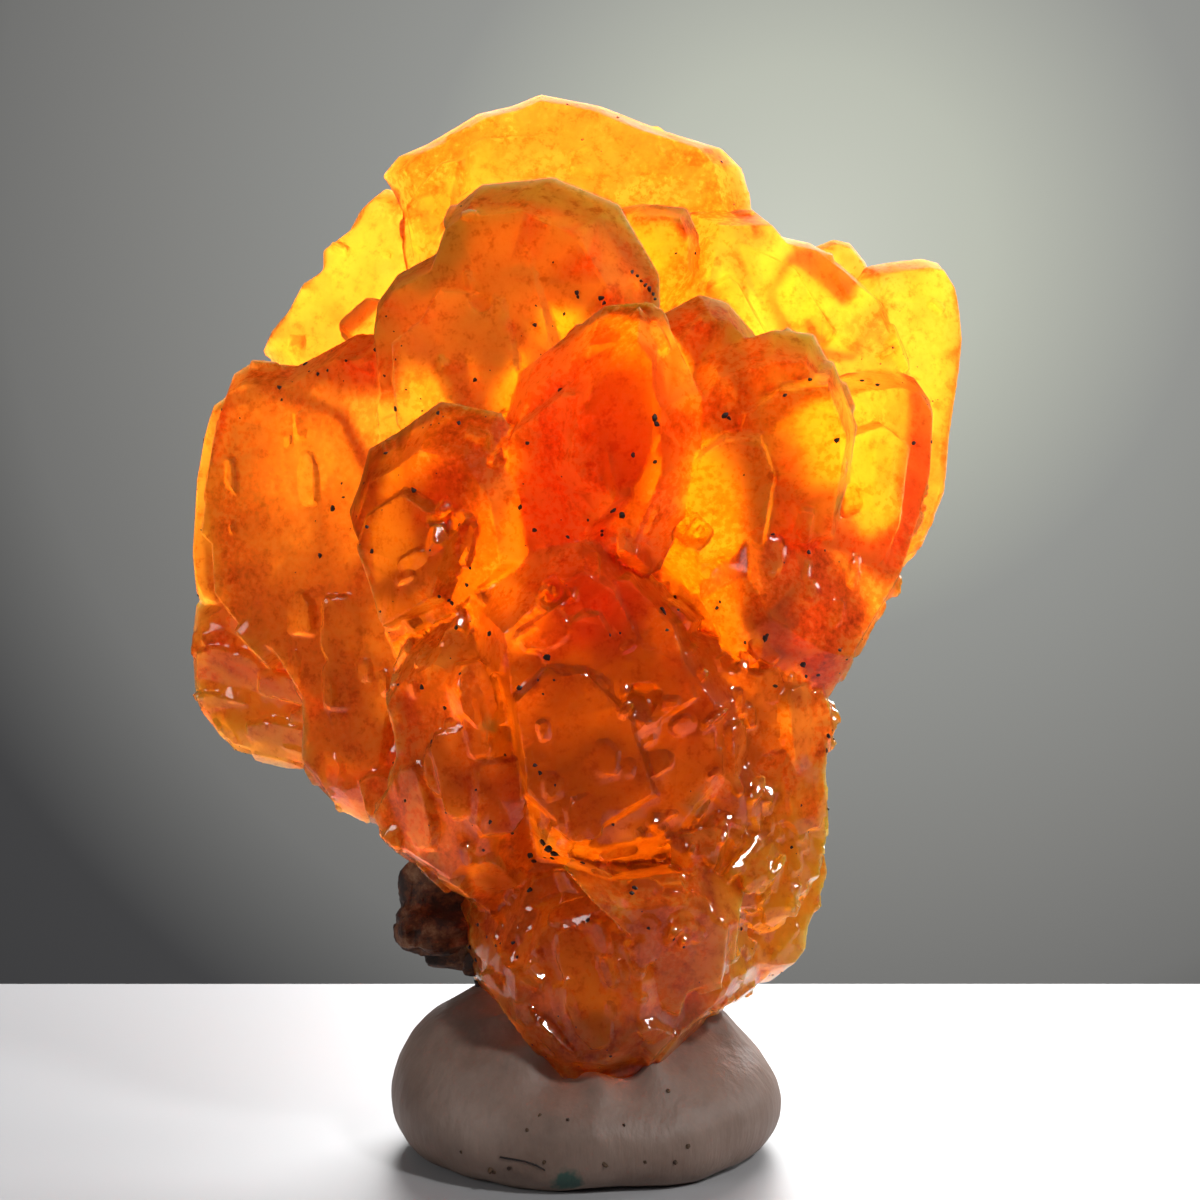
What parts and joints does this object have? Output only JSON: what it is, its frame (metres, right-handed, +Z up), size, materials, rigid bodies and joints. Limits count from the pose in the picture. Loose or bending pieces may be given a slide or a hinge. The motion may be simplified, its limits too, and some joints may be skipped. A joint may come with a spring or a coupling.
{
  "type": "wulfenite crystal specimen",
  "caption": "Translucent orange wulfenite: rounded tabular crystals grown together on a tapering stem, with a scrap of brown matrix, stood upright in a flat-footed lump of grey mineral tack.",
  "frame": {"origin": "middle of the flat underside of the mineral tack, on the surface that the specimen stands on", "axes": "+Z up, -Y the side that the specimen is shown from, +X to the right as seen from that side"},
  "size_m": [0.0207, 0.0117, 0.0273],
  "materials": {
    "crystal": "translucent orange, resinous lustre",
    "matrix": "rough, iron-stained",
    "tack": "satin, kneaded"
  },
  "bodies": {
    "root": {"wulfenite_crystals": "crystal", "matrix": "matrix", "mineral_tack": "tack"}
  },
  "joints": []
}
